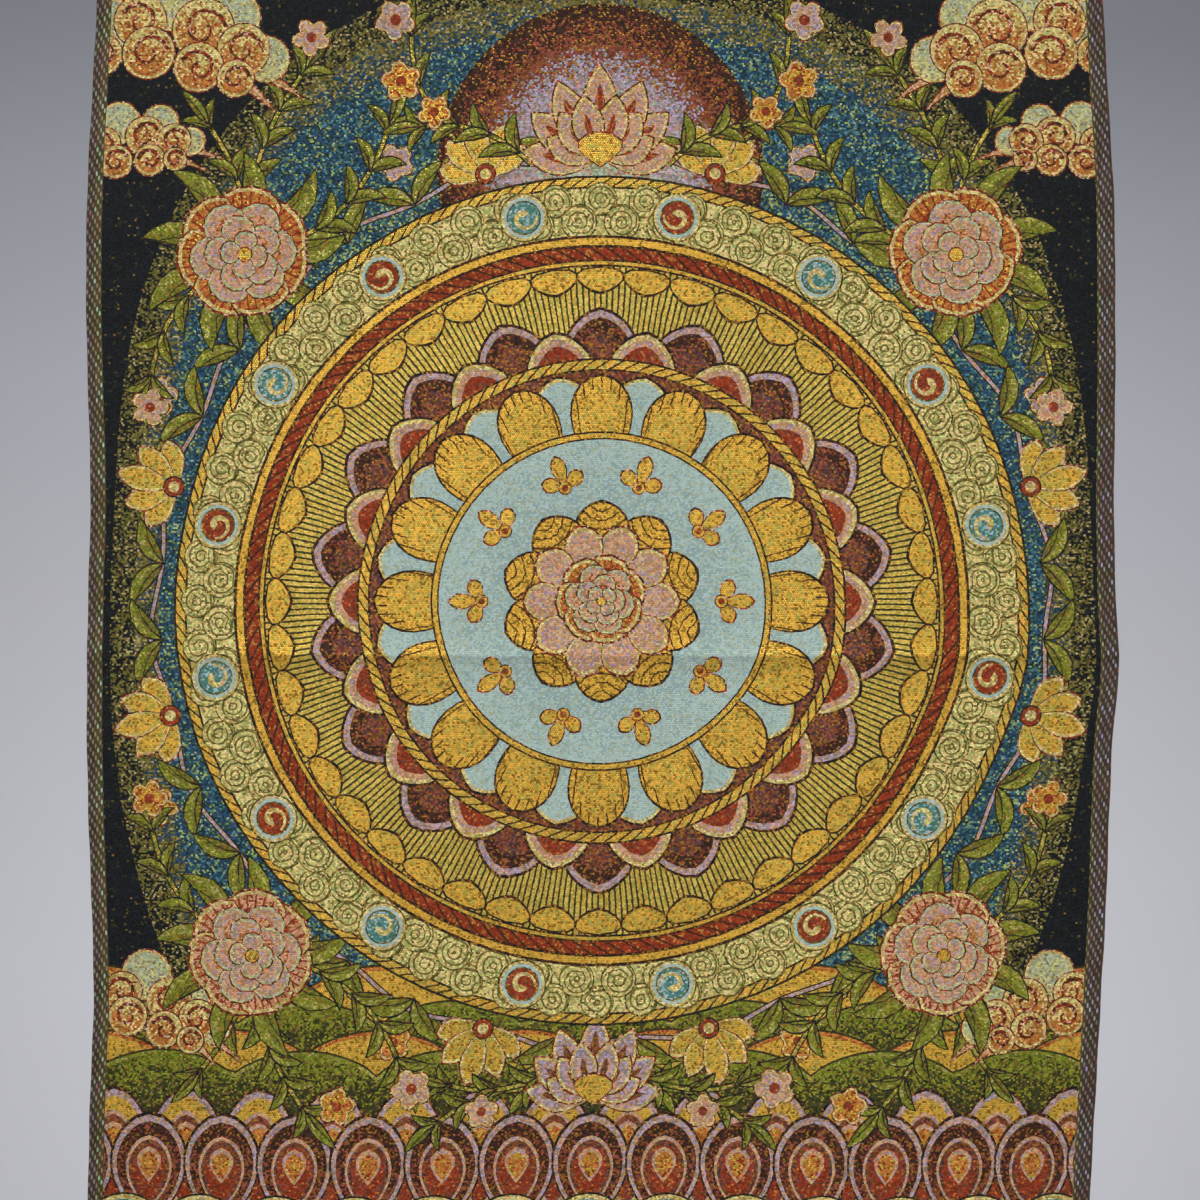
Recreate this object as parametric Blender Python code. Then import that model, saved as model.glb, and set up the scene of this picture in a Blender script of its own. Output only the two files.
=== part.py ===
"""A woven brocade wall hanging: one rectangular panel of cloth that hangs from its top edge.

Metres, +Z up. The front faces -Y, and the origin is the middle of the top edge.
"""

from collections import namedtuple

import bmesh
import bpy
import numpy as np

# The cloth
DROP = 0.900  # top edge to bottom edge, as it hangs
CLOTH_THICK = 0.0015
SELVEDGE_THICK = 0.0020  # the firmer woven edge down each side
SELVEDGE_WIDTH = 0.009
HEM_THICK = 0.0030  # the cloth turned to the back at top and bottom
HEM_DEPTH = 0.014
STEP = 0.0015  # width of the slope from one thickness to the next

# Where the two side edges hang, measured across from the centre line
Edge = namedtuple("Edge", "z left right")
EDGES = (
    Edge(z=0.000, left=-0.2935, right=0.2935),
    Edge(z=-0.066, left=-0.2952, right=0.2952),
    Edge(z=-0.125, left=-0.2981, right=0.2981),
    Edge(z=-0.184, left=-0.3009, right=0.3014),
    Edge(z=-0.243, left=-0.3016, right=0.3022),
    Edge(z=-0.302, left=-0.3005, right=0.3022),
    Edge(z=-0.360, left=-0.2993, right=0.3016),
    Edge(z=-0.419, left=-0.3010, right=0.3028),
    Edge(z=-0.463, left=-0.3016, right=0.3046),
    Edge(z=-0.493, left=-0.3019, right=0.3016),
    Edge(z=-0.537, left=-0.3012, right=0.2995),
    Edge(z=-0.596, left=-0.2993, right=0.2975),
    Edge(z=-0.654, left=-0.2981, right=0.2946),
    Edge(z=-0.713, left=-0.3003, right=0.2916),
    Edge(z=-0.772, left=-0.3016, right=0.2887),
    Edge(z=-0.900, left=-0.3020, right=0.2865),
)

# Upright rolls of the hanging cloth: how far each stands forward at four heights
Roll = namedtuple("Roll", "x reach top shoulder middle bottom")
ROLL_HEIGHTS = (0.0, -0.10, -0.45, -0.90)
ROLLS = (
    Roll(x=-0.275, reach=0.050, top=0.0, shoulder=0.0030, middle=-0.0012, bottom=-0.0060),
    Roll(x=-0.150, reach=0.070, top=0.0, shoulder=-0.0026, middle=0.0016, bottom=0.0085),
    Roll(x=0.010, reach=0.080, top=0.0, shoulder=0.0024, middle=-0.0014, bottom=-0.0050),
    Roll(x=0.160, reach=0.065, top=0.0, shoulder=-0.0030, middle=0.0012, bottom=0.0080),
    Roll(x=0.280, reach=0.045, top=0.0, shoulder=0.0034, middle=0.0020, bottom=-0.0070),
)

# The storage fold, close to the panel's middle: a soft ridge that stands forward
Fold = namedtuple("Fold", "z_left z_right forward reach")
FOLDS = (Fold(z_left=-0.4516, z_right=-0.4522, forward=0.0020, reach=0.0048),)

# The mesh
ROW_PITCH = 0.030
COLUMN_PITCH = 0.028
FOLD_ROWS = (-0.014, -0.006, -0.002, 0.0, 0.002, 0.006, 0.014)  # extra rows about each fold


def through(at, places, values):
    """A smooth curve through the given values, read at one place or at many."""
    order = np.argsort(places)
    places = np.asarray(places, float)[order]
    values = np.asarray(values, float)[order]
    slopes = np.gradient(values, places)
    low = np.clip(np.searchsorted(places, at) - 1, 0, len(places) - 2)
    span = places[low + 1] - places[low]
    t = np.clip((at - places[low]) / span, 0.0, 1.0)
    return (
        (2 * t**3 - 3 * t**2 + 1) * values[low]
        + (t**3 - 2 * t**2 + t) * span * slopes[low]
        + (3 * t**2 - 2 * t**3) * values[low + 1]
        + (t**3 - t**2) * span * slopes[low + 1]
    )


def side_edges(z):
    heights = [edge.z for edge in EDGES]
    left = through(z, heights, [edge.left for edge in EDGES])
    right = through(z, heights, [edge.right for edge in EDGES])
    return left, right


def forward_at(x, z, across):
    """How far the cloth stands forward of its top edge; across runs 0 to 1 from side to side."""
    forward = 0.0
    for roll in ROLLS:
        depths = (roll.top, roll.shoulder, roll.middle, roll.bottom)
        forward += through(z, ROLL_HEIGHTS, depths) * np.exp(-(((x - roll.x) / roll.reach) ** 2))
    for fold in FOLDS:
        fold_z = fold.z_left + (fold.z_right - fold.z_left) * across
        forward += fold.forward * np.exp(-np.abs(z - fold_z) / fold.reach)
    return forward


def thickness_at(from_side, from_end):
    """Thickness of the cloth, from its distance to the nearer side and to the nearer end."""
    if from_end < HEM_DEPTH:
        return HEM_THICK
    if from_side < SELVEDGE_WIDTH:
        return SELVEDGE_THICK
    return CLOTH_THICK


def row_heights():
    """(height at the left edge, height at the right edge) of each row of points, top to bottom."""
    even = np.linspace(0.0, -DROP, round(DROP / ROW_PITCH) + 1)
    rows = [(z, z) for z in even]
    for fold in FOLDS:
        middle = (fold.z_left + fold.z_right) / 2
        rows = [row for row in rows if abs(row[0] - middle) > ROW_PITCH * 0.7]
        rows += [(fold.z_left + step, fold.z_right + step) for step in FOLD_ROWS]
    for end, inward in ((0.0, -1.0), (-DROP, 1.0)):
        rows += [(end + inward * depth,) * 2 for depth in (HEM_DEPTH, HEM_DEPTH + STEP)]
    return sorted(rows, reverse=True)


def column_shares():
    """Where the columns of points stand, as shares of the panel's width."""
    width = EDGES[0].right - EDGES[0].left
    inner = (SELVEDGE_WIDTH + STEP) / width
    middle = np.linspace(inner, 1 - inner, round(width / COLUMN_PITCH) + 1)
    strip = SELVEDGE_WIDTH / width
    return np.concatenate([[0.0, strip], middle, [1 - strip, 1.0]])


def make_material(name, colour, roughness, metallic):
    material = bpy.data.materials.new(name)
    material.use_nodes = True
    shader = material.node_tree.nodes["Principled BSDF"]
    shader.inputs["Base Color"].default_value = (*colour, 1.0)
    shader.inputs["Roughness"].default_value = roughness
    shader.inputs["Metallic"].default_value = metallic
    material.diffuse_color = (*colour, 1.0)
    return material


def make_panel():
    """The front of the cloth as one sheet of quads, given its thickness towards the back."""
    rows, columns = row_heights(), column_shares()
    bm = bmesh.new()
    grid, thicknesses = [], []
    for z_left, z_right in rows:
        line = []
        for across in columns:
            z = z_left + (z_right - z_left) * across
            left, right = side_edges(z)
            x = left + (right - left) * across
            y = -forward_at(x, z, across) - CLOTH_THICK / 2
            line.append(bm.verts.new((x, y, z)))
            from_side = min(x - left, right - x)
            from_end = min(-z, z + DROP)
            # points on a step's own line belong to the thicker side of it
            thicknesses.append(thickness_at(from_side - STEP / 3, from_end - STEP / 3))
        grid.append(line)
    for upper, lower in zip(grid, grid[1:]):
        for i in range(len(columns) - 1):
            bm.faces.new((upper[i], lower[i], lower[i + 1], upper[i + 1]))
    mesh = bpy.data.meshes.new("woven_panel")
    bm.to_mesh(mesh)
    bm.free()

    panel = bpy.data.objects.new("woven_panel", mesh)
    bpy.context.scene.collection.objects.link(panel)
    group = panel.vertex_groups.new(name="thickness")
    for index, thick in enumerate(thicknesses):
        group.add([index], thick / HEM_THICK, "REPLACE")
    solidify = panel.modifiers.new("Cloth thickness", "SOLIDIFY")
    solidify.thickness = HEM_THICK
    solidify.offset = -1.0  # the front stays where it is, and the thickness grows to the back
    solidify.vertex_group = group.name
    mesh.shade_smooth()
    mesh.set_sharp_from_angle(angle=np.radians(40))
    mesh.materials.append(make_material("woven_brocade", (0.33, 0.25, 0.10), 0.5, 0.1))
    return panel


for old in list(bpy.data.objects):
    bpy.data.objects.remove(old, do_unlink=True)
make_panel()
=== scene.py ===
import math
from collections import namedtuple

import bpy
import numpy as np
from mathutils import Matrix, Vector
from mathutils.bvhtree import BVHTree
from mathutils.geometry import delaunay_2d_cdt


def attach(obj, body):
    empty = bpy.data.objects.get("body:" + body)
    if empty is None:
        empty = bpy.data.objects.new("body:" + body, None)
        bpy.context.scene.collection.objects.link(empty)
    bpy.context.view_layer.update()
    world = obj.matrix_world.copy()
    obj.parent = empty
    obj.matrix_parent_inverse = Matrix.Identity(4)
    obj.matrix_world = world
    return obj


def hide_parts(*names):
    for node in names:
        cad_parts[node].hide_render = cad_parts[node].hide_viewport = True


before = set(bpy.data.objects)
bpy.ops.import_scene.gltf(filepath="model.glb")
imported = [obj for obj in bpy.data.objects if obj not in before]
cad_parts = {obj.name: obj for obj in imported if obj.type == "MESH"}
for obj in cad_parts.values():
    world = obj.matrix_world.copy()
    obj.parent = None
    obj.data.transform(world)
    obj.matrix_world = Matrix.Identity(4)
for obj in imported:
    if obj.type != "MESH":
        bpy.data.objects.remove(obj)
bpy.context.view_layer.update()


# ---------------------------------------------------------------------------------------------
# The view: a level camera straight in front of the hanging, at the height of the stretch of cloth
# that is seen. Both ends of the panel run out of the frame, and both side edges show.
# ---------------------------------------------------------------------------------------------
FRAME_WIDTH = 0.7056  # metres of cloth across the picture: 1200 pixels of 0.588 mm
EYE_HEIGHT = -0.4192  # the middle of the picture, below the top edge
LENS_MM, SENSOR_MM = 80.0, 36.0

view_camera = bpy.data.cameras.new("view_camera")
view_camera.lens = LENS_MM
view_camera.sensor_width = SENSOR_MM
viewer = bpy.data.objects.new("viewer", view_camera)
viewer.location = (0.0, -FRAME_WIDTH * LENS_MM / SENSOR_MM, EYE_HEIGHT)
viewer.rotation_euler = (math.radians(90), 0.0, 0.0)
bpy.context.scene.collection.objects.link(viewer)
bpy.context.scene.camera = viewer


# ---------------------------------------------------------------------------------------------
# The studio: a seamless pale grey paper sweep, a wall that runs down into the floor, well behind
# the cloth. Its upper part is in shade, partly from the lamps and partly painted into the paper's
# colour. A soft box high on the left lights the cloth through a honeycomb grid, which keeps its
# light in a beam. Weak boxes in front and behind and the bright room fill the shadows, and a box
# near the floor washes the paper.
# ---------------------------------------------------------------------------------------------
FLOOR_Z = -1.75
WALL_Y = 3.6
SWEEP_RADIUS = 0.8
SWEEP_STEPS = 12  # flat facets round the curve, shaded smooth
STUDIO_HALF = 7.0
WALL_TALL = 5.0


def linear(hex_colour):
    """An sRGB hex colour as linear red, green, blue and alpha."""
    parts = [int(hex_colour[i:i + 2], 16) / 255 for i in (1, 3, 5)]
    return (*(c / 12.92 if c <= 0.04045 else ((c + 0.055) / 1.055) ** 2.4 for c in parts), 1.0)


def add(tree, kind, settings=None, *inputs, **named):
    """Adds a shader node: its settings, then values or links for its sockets, in order or by name."""
    made = tree.nodes.new("ShaderNode" + kind)
    for key, value in (settings or {}).items():
        setattr(made, key, value)
    sockets = [socket for socket in made.inputs if socket.enabled]
    by_name = {socket.name.lower().replace(" ", "_"): socket for socket in reversed(sockets)}
    named_sockets = [(by_name[name], value) for name, value in named.items()]
    for socket, value in [*zip(sockets, inputs), *named_sockets]:
        if isinstance(value, bpy.types.Node):
            value = value.outputs[0]
        if isinstance(value, bpy.types.NodeSocket):
            tree.links.new(value, socket)
        elif value is not None:
            socket.default_value = value
    return made


def math_node(tree, operation, *inputs):
    return add(tree, "Math", {"operation": operation}, *inputs)


def new_material(name):
    made = bpy.data.materials.new(name)
    made.use_nodes = True
    made.node_tree.nodes.clear()
    return made, made.node_tree


def fill_ramp(ramp, stops):
    """Gives a colour ramp its stops: (place from 0 to 1, hex colour)."""
    while len(ramp.elements) > 1:
        ramp.elements.remove(ramp.elements[-1])
    ramp.elements[0].position, ramp.elements[0].color = stops[0][0], linear(stops[0][1])
    for at, colour in stops[1:]:
        ramp.elements.new(at).color = linear(colour)


# Seamless background paper, matt, with painted shade: its colour darkens towards its top, by height.
PAPER_PAINTED_SHADE = (
    (0.0, "#c4c4c7"), (0.21, "#c6c6cb"), (0.35, "#c0c1c5"), (0.52, "#b9b9be"), (0.68, "#b3b3ba"),
    (0.84, "#a6a8ae"), (1.0, "#92939a"),
)
# the painted shade also darkens a little towards the right
PAPER_LOW, PAPER_HIGH, PAPER_SHADE_TILT = FLOOR_Z, 0.75, 0.058  # the shades climb a little from side to side
paper, tree = new_material("matt paper with painted shade")
place = add(tree, "TexCoord").outputs["Object"]
across, _, height = add(tree, "SeparateXYZ", None, place).outputs
# painted shade: the paper's colour is chosen by height, leaning a little towards the right
height = math_node(tree, "MULTIPLY_ADD", across, PAPER_SHADE_TILT, height)
share = add(tree, "MapRange", None, height, PAPER_LOW, PAPER_HIGH)
ramp = add(tree, "ValToRGB", None, share)
fill_ramp(ramp.color_ramp, PAPER_PAINTED_SHADE)
shader = add(tree, "BsdfDiffuse", None, ramp)
add(tree, "OutputMaterial", None, shader)

profile = [(-STUDIO_HALF, FLOOR_Z), (WALL_Y - SWEEP_RADIUS, FLOOR_Z)]
for step in range(1, SWEEP_STEPS + 1):
    turn = math.radians(90) * step / SWEEP_STEPS
    before_wall = SWEEP_RADIUS * (1 - math.sin(turn))
    above_floor = SWEEP_RADIUS * (1 - math.cos(turn))
    profile.append((WALL_Y - before_wall, FLOOR_Z + above_floor))
profile.append((WALL_Y, FLOOR_Z + WALL_TALL))
points = [(x, y, z) for y, z in profile for x in (-STUDIO_HALF, STUDIO_HALF)]
faces = [(2 * i, 2 * i + 1, 2 * i + 3, 2 * i + 2) for i in range(len(profile) - 1)]
sweep_mesh = bpy.data.meshes.new("paper_sweep")
sweep_mesh.from_pydata(points, [], faces)
sweep_mesh.shade_smooth()
sweep_mesh.materials.append(paper)
sweep = bpy.data.objects.new("paper_sweep", sweep_mesh)
bpy.context.scene.collection.objects.link(sweep)

room = bpy.data.worlds.new("bright room")
room.use_nodes = True
room_light = room.node_tree.nodes["Background"].inputs
room_light["Color"].default_value = linear("#e8eaee")
room_light["Strength"].default_value = 0.42
bpy.context.scene.world = room
bpy.context.scene.view_settings.view_transform = "Standard"

SoftBox = namedtuple("SoftBox", "name place aim size power spread")
for box in (
    SoftBox("key_soft_box", (-0.6, -2.1, 1.6), (0.0, 0.0, -0.45), 1.2, 3.3, 25.0),
    SoftBox("fill_soft_box", (1.6, -2.4, 0.2), (0.0, 0.0, EYE_HEIGHT), 1.6, 8.0, 180.0),
    SoftBox("back_soft_box", (0.6, 2.4, 0.6), (0.0, 0.0, EYE_HEIGHT), 1.6, 22.0, 180.0),
    SoftBox("paper_wash", (0.0, 1.3, -1.1), (0.0, WALL_Y, -0.9), 2.4, 60.0, 180.0),
):
    lamp = bpy.data.lights.new(box.name, "AREA")
    lamp.size = box.size
    lamp.energy = box.power
    lamp.spread = math.radians(box.spread)
    lit = bpy.data.objects.new(box.name, lamp)
    lit.location = box.place
    lit.rotation_euler = (Vector(box.aim) - Vector(box.place)).to_track_quat("-Z", "Y").to_euler()
    lit.visible_camera = False
    bpy.context.scene.collection.objects.link(lit)


# ---------------------------------------------------------------------------------------------
# The woven panel: one length of jacquard brocade, silk-like coloured wefts and flat gilt thread on
# a black warp. The design is woven in, the selvedges are woven in one with it, and the two ends
# are turned to the back. It hangs from its top edge, with the fold that storage left across it.
# ---------------------------------------------------------------------------------------------
WIDE, TALL = 600.0, 900.0  # millimetres, the flat cloth between its folded ends
CLOTH_THICK, SELVEDGE_THICK, HEM_THICK = 1.5, 2.0, 3.0
SELVEDGE_WIDTH = 9.0
HEM_DEPTH = 14.0
STEP = 1.5  # the slope from one thickness to the next

# The yarns. The gilt ones come first, because the shader takes them to be metal.
Yarn = namedtuple("Yarn", "name colour")
YARNS = (
    Yarn("gilt", "#e3b246"),
    Yarn("old gilt", "#9c7629"),
    Yarn("pale gilt", "#c5af51"),
    Yarn("lemon gilt", "#d3b95a"),
    Yarn("ink", "#1b1e20"),
    Yarn("blue", "#284559"),
    Yarn("teal", "#4f8478"),
    Yarn("aqua", "#b5cbc1"),
    Yarn("grey aqua", "#9db5b3"),
    Yarn("sage", "#b2bb98"),
    Yarn("bronze", "#75662f"),
    Yarn("cream", "#dccc80"),
    Yarn("flax", "#94886a"),
    Yarn("leaf", "#7f8427"),
    Yarn("moss", "#403f1f"),
    Yarn("brown", "#4b2c1c"),
    Yarn("maroon", "#874832"),
    Yarn("brick", "#95391c"),
    Yarn("orange", "#c37837"),
    Yarn("peach", "#d6ad80"),
    Yarn("pink", "#cf9a72"),
    Yarn("lilac", "#ac9aa4"),
    Yarn("plum", "#5c3b3c"),
    Yarn("umbra", "#43291f"),
    Yarn("ash", "#81766d"),
    Yarn("umber", "#5c5133"),
    Yarn("bark", "#504237"),
    Yarn("straw", "#a8a45e"),
)
GILT_YARNS = 4
YARN_NUMBER = {yarn.name: number for number, yarn in enumerate(YARNS)}

# How a figure is woven: its first yarn, a second one that shows in a share of the stitches, and a
# third one, which weaves a share of flecks and the fine lines ruled across the figure. Grain is how
# much one stitch differs from the next, and line is how much of their spacing the lines take. Flecks
# below 0 mark the selvedges, which have a material of their own.
Weave = namedtuple("Weave", "first second share third flecks grain line", defaults=(1.0, 0.22))
WEAVES = {
    "ground": Weave("ink", "moss", -0.02, "bronze", 0.016),
    "field": Weave("blue", "straw", 0.24, "teal", 0.24, 1.4),
    "field rim": Weave("blue", "bronze", 0.45, "straw", 0.20, 1.3),
    "field edge": Weave("ink", "bronze", 0.50, "straw", 0.12, 1.3),
    "gold": Weave("gilt", "pale gilt", 0.24, "old gilt", 0.14, 0.6),
    "gold lined": Weave("gilt", "old gilt", 0.14, "brown", 0.0, 0.6, 0.16),
    "rays": Weave("lemon gilt", "gilt", 0.20, "moss", 0.0, 0.8, 0.34),
    "rope": Weave("gilt", "pale gilt", 0.35, "brown", 0.0, 0.8),
    "red rope": Weave("brick", "orange", 0.16, "brown", 0.0),
    "disc": Weave("aqua", "grey aqua", 0.22, "sage", 0.10, 0.25),
    "scroll ground": Weave("cream", "straw", 0.24, "bronze", 0.05, 1.0, 0.28),
    "scroll line": Weave("bronze", "moss", 0.40, "pale gilt", 0.20),
    "teal": Weave("teal", "grey aqua", 0.25, "aqua", 0.10, 0.7),
    "cream": Weave("cream", "peach", 0.30, "pale gilt", 0.20),
    "sage": Weave("sage", "cream", 0.35, "flax", 0.12, 0.7),
    "leaf": Weave("leaf", "bronze", 0.30, "moss", 0.08),
    "young leaf": Weave("leaf", "bronze", 0.12, "old gilt", 0.08),
    "leaf light": Weave("leaf", "pale gilt", 0.22, "straw", 0.16),
    "rib": Weave("pale gilt", "leaf", 0.45, "bronze", 0.15),
    "leaf line": Weave("moss", "ink", 0.55, "brown", 0.20),
    "flower line": Weave("brick", "brown", 0.45, "peach", 0.20),
    "dark line": Weave("brown", "ink", 0.40, "old gilt", 0.20),
    "maroon": Weave("maroon", "plum", 0.30, "old gilt", 0.20, 1.2),
    "brick": Weave("brick", "maroon", 0.30, "orange", 0.10),
    "orange": Weave("orange", "gilt", 0.30, "brick", 0.12),
    "cloud": Weave("cream", "orange", 0.50, "brick", 0.06),
    "peach": Weave("peach", "orange", 0.25, "cream", 0.15),
    "pink": Weave("pink", "peach", 0.40, "lilac", 0.20, 0.8),
    "rose": Weave("pink", "orange", 0.35, "brick", 0.10),
    "dusk": Weave("maroon", "umbra", 0.5, "old gilt", 0.14, 1.2),
    "soft glow": Weave("maroon", "lilac", 0.5, "old gilt", 0.14, 1.2),
    "pale glow": Weave("lilac", "sage", 0.5, "pink", 0.20),
    "hill": Weave("leaf", "moss", 0.5, "bronze", 0.16, 1.2),
    "lilac": Weave("lilac", "pink", 0.35, "peach", 0.10),
    "end band": Weave("ink", "bronze", 0.20, "ink", 0.0),
    "hem thread": Weave("old gilt", "bronze", 0.30, "ink", 0.0),
    "left selvedge": Weave("flax", "sage", 0.25, "umber", -1.0),
    "left edge": Weave("ash", "flax", 0.40, "bark", -1.0),
    "right selvedge": Weave("ash", "lilac", 0.30, "bark", -1.0),
    "right lining": Weave("flax", "straw", 0.40, "umber", -1.0),
    "red edge": Weave("bark", "maroon", 0.40, "bark", -1.0),
}

Figure = namedtuple("Figure", "outline weave rule share")
figures = []


# The design is drawn flat, in millimetres, with a point of the cloth as a complex number: across
# from the middle of the panel, and up. A later figure lies over an earlier one.
def weave_in(outline, weave, rule=None, share=None):
    """Lays a figure on the cloth; its outline is turned to run counter-clockwise."""
    if outline is None:
        return
    if (np.conj(outline) * np.roll(outline, -1)).imag.sum() < 0:
        outline = outline[::-1]
    figures.append(Figure(outline, WEAVES[weave], rule, share))


def banded(shape, *bands):
    """Weaves a shape that takes an inset once for each band: (inset, weave, rule, share)."""
    for inset, *woven in bands:
        weave_in(shape(inset), *woven)


def circle(centre, radius):
    """A circle with just enough points to stray no more than a sixth of a millimetre."""
    count = max(8, round(5.4 * math.sqrt(radius)))
    return centre + radius * np.exp(1j * math.tau * np.arange(count) / count)


def roundel(centre, radius, *bands):
    """Weaves a round figure, one band inside the other."""
    banded(lambda inset: circle(centre, radius - inset), *bands)


def lobed(centre, radius, lobes, depth, turn):
    """A rosette with round lobes; depth is how far it draws in between them, as a share."""
    count = lobes * max(6, round(math.tau * radius / 3.0 / lobes))  # a point about every 3 mm
    angle = math.tau * np.arange(count) / count
    swell = np.abs(np.cos(lobes * (angle - turn) / 2)) ** 0.7
    return centre + radius * (1 - depth * (1 - swell)) * np.exp(1j * angle)


def curve(start, end, bend, count):
    """A spine from start to end that bulges to its left by a share of its length."""
    t = np.linspace(0, 1, count)
    return start + (end - start) * (t + 4j * bend * t * (1 - t))


def spiral(centre, start, turns, count):
    """A spine from the point start round the centre, closing in to a fifth of the radius."""
    t = np.linspace(0, 1, count)
    return centre + (start - centre) * (1 - 0.8 * t) * np.exp(1j * math.tau * turns * t)


def ribbon(spine, half_width):
    """The outline of a strip along a spine, at a half width given for each point."""
    along = np.gradient(spine)
    side = 1j * along / np.abs(along) * half_width
    return np.concatenate([spine + side, (spine - side)[::-1]])


THINNEST = 0.45  # half the width of the narrowest blade that stitches can show


def blade(root, tip, width, bend, belly, roundness, inset, teeth, count=0):
    """A leaf or a petal, widest at the share belly of its length, drawn in by inset."""
    length = abs(tip - root)
    if width / 2 - inset < THINNEST or length < 4 * inset:
        return None
    count = count or int(np.clip(length / 3.6, 7, 13))  # a point about every 3.6 mm along each side
    spine = curve(root, tip, bend, 4 * count)
    at = np.linspace(0, 1, len(spine))
    even = np.linspace(0, 1, count)
    even += (0.5 - 0.5 * np.cos(math.pi * even) - even) * 0.7  # closer together at both ends
    t = inset / length + (1 - 2.5 * inset / length) * even
    spine = np.interp(t, at, spine.real) + 1j * np.interp(t, at, spine.imag)
    across = np.sin(math.pi * even ** (math.log(0.5) / math.log(belly)))
    half = (width / 2 - inset) * np.clip(across, 0, 1) ** roundness * (1 + teeth * (np.arange(count) % 2))
    outline = ribbon(spine, half)
    return np.concatenate([outline[:count], outline[count + 1:-1]])  # one point at each end


# Rules give each point a number; a fine line is woven wherever it passes a half. The hub is the
# middle of the point's own face: angles are taken from it, so that none jumps within a face.
def spokes(centre, count, slant=0.0):
    """Lines that run out from a centre, or slant like the strands of a rope."""
    def rule(points, hub):
        angle = np.angle(hub - centre) + np.angle((points - centre) / (hub - centre))
        return angle * count / math.tau + slant * np.abs(points - centre)
    return rule


def stripes(spacing):
    """Upright lines, spaced in millimetres."""
    def rule(points, hub):
        return points.real / spacing
    return rule


def rings(centre, spacing):
    """Round lines about a centre, spaced in millimetres."""
    def rule(points, hub):
        return np.abs(points - centre) / spacing
    return rule


def coil(centre, spacing, hand):
    """A line that winds out from a centre like a snail's shell, spaced in millimetres."""
    def rule(points, hub):
        angle = np.angle(hub - centre) + np.angle((points - centre) / (hub - centre))
        return np.abs(points - centre) / spacing + hand * angle / math.tau
    return rule


# Shares let one yarn give way to the other, stitch by stitch.
def fade(start, end, at_start, at_end):
    """The second yarn's share changes evenly from one point to another."""
    def share(points):
        along = ((points - start) * np.conj(end - start)).real / abs(end - start) ** 2
        return at_start + (at_end - at_start) * np.clip(along, 0, 1)
    return share


def glow(centre, inner, outer, at_inner, at_outer):
    """The second yarn's share changes evenly from one radius to another."""
    def share(points):
        return np.interp(np.abs(points - centre), (inner, outer), (at_inner, at_outer))
    return share


def leaf(root, tip, width, bend, weave):
    """A long pointed leaf with a dark edge and rib, browner at its root, and light along its outer side."""
    weave_in(blade(root, tip, width, bend, 0.45, 0.9, 0.0, 0.0, 8), "leaf line")
    weave_in(blade(root, tip, width, bend, 0.45, 0.9, 1.1, 0.0, 7), weave, None, fade(root, tip, 0.8, 0.0))
    outward = math.copysign(0.22 * width / abs(tip - root), bend)
    weave_in(blade(root, tip, 0.56 * width, bend + outward, 0.5, 0.9, 1.1, 0.0, 6), "leaf light")
    rib = curve(root, root + (tip - root) * 0.8, bend * 0.8, 4)
    weave_in(ribbon(rib, np.linspace(0.5, 0.25, 4)), "leaf line")


def stem(spine, weave):
    """A stem 2 mm wide with a dark edge."""
    weave_in(ribbon(spine, np.full(len(spine), 1.8)), "leaf line")
    weave_in(ribbon(spine, np.full(len(spine), 1.0)), weave)


def spray(root, tip, bend, pairs, size, weave):
    """A leafy shoot: a bent stem with leaves in pairs, smaller towards its tip, and one at the tip."""
    spine = curve(root, tip, bend, 13)
    stem(spine, "rib")
    for number in range(pairs):
        at = 0.12 + 0.76 * number / max(1, pairs - 1)
        low = min(int(at * 12), 11)
        point = spine[low] + (spine[low + 1] - spine[low]) * (at * 12 - low)
        onward = (spine[low + 1] - spine[low]) / abs(spine[low + 1] - spine[low])
        reach = size * (1 - 0.30 * at)
        lean = 0.80 + 0.16 * math.sin(5 * number)
        for hand in (-1, 1):
            leaf(point, point + reach * onward * np.exp(hand * lean * 1j), 0.38 * reach, -0.16 * hand, weave)
    onward = spine[-1] - spine[-2]
    leaf(spine[-2], spine[-1] + 0.7 * size * onward / abs(onward), 0.32 * size, bend * 0.5, weave)


def petal(root, tip, width, *bands, belly=0.62, bend=0.0, roundness=0.62, teeth=0.0):
    """Weaves a petal, one band inside the other."""
    banded(lambda inset: blade(root, tip, width, bend, belly, roundness, inset, teeth), *bands)


def petal_ring(centre, inner, outer, count, width, bands, turn=0.0, unruly=0.0, **form):
    """Petals all round a centre; bands gives a petal's bands for its root and tip."""
    for number in range(count):
        out = np.exp(1j * (turn + math.tau * number / count + 0.6 * unruly * math.sin(9 * number + turn)))
        root, tip = centre + inner * out, centre + outer * out * (1 + unruly * math.sin(7 * number + turn))
        petal(root, tip, width, *bands(root, tip), **form)


def peony(centre, size, turn, outer="orange"):
    """A full flower: a ring of wide ruffled outer petals, three rings of inner ones and a gilt heart."""
    petal_ring(centre, 0.2 * size, size, 7, 0.92 * size, lambda root, tip: (
        (0.0, "flower line"), (1.0, "cream"), (2.4, outer, spokes(centre, 40), fade(tip, root, 0.0, 0.5)),
        (0.20 * size, "brick", None, fade(tip, root, 0.0, 0.8))),
        turn=turn, unruly=0.06, roundness=0.5, teeth=0.05)
    for reach, width, count, shift in ((0.80, 0.66, 6, 0.4), (0.58, 0.52, 5, 0.9), (0.36, 0.36, 4, 0.2)):
        petal_ring(centre, 0.0, reach * size, count, width * size, lambda root, tip: (
            (0.0, "flower line"), (0.7, "sage"), (1.8, "pink", None, fade(tip, root, 0.2, 0.6)),
            (0.14 * size, "rose", None, fade(tip, root, 0.0, 0.8))),
            turn=turn + shift, unruly=0.07, roundness=0.5, teeth=0.04)
    roundel(centre, 0.12 * size, (0.0, "flower line"), (0.8, "gold"))


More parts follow.
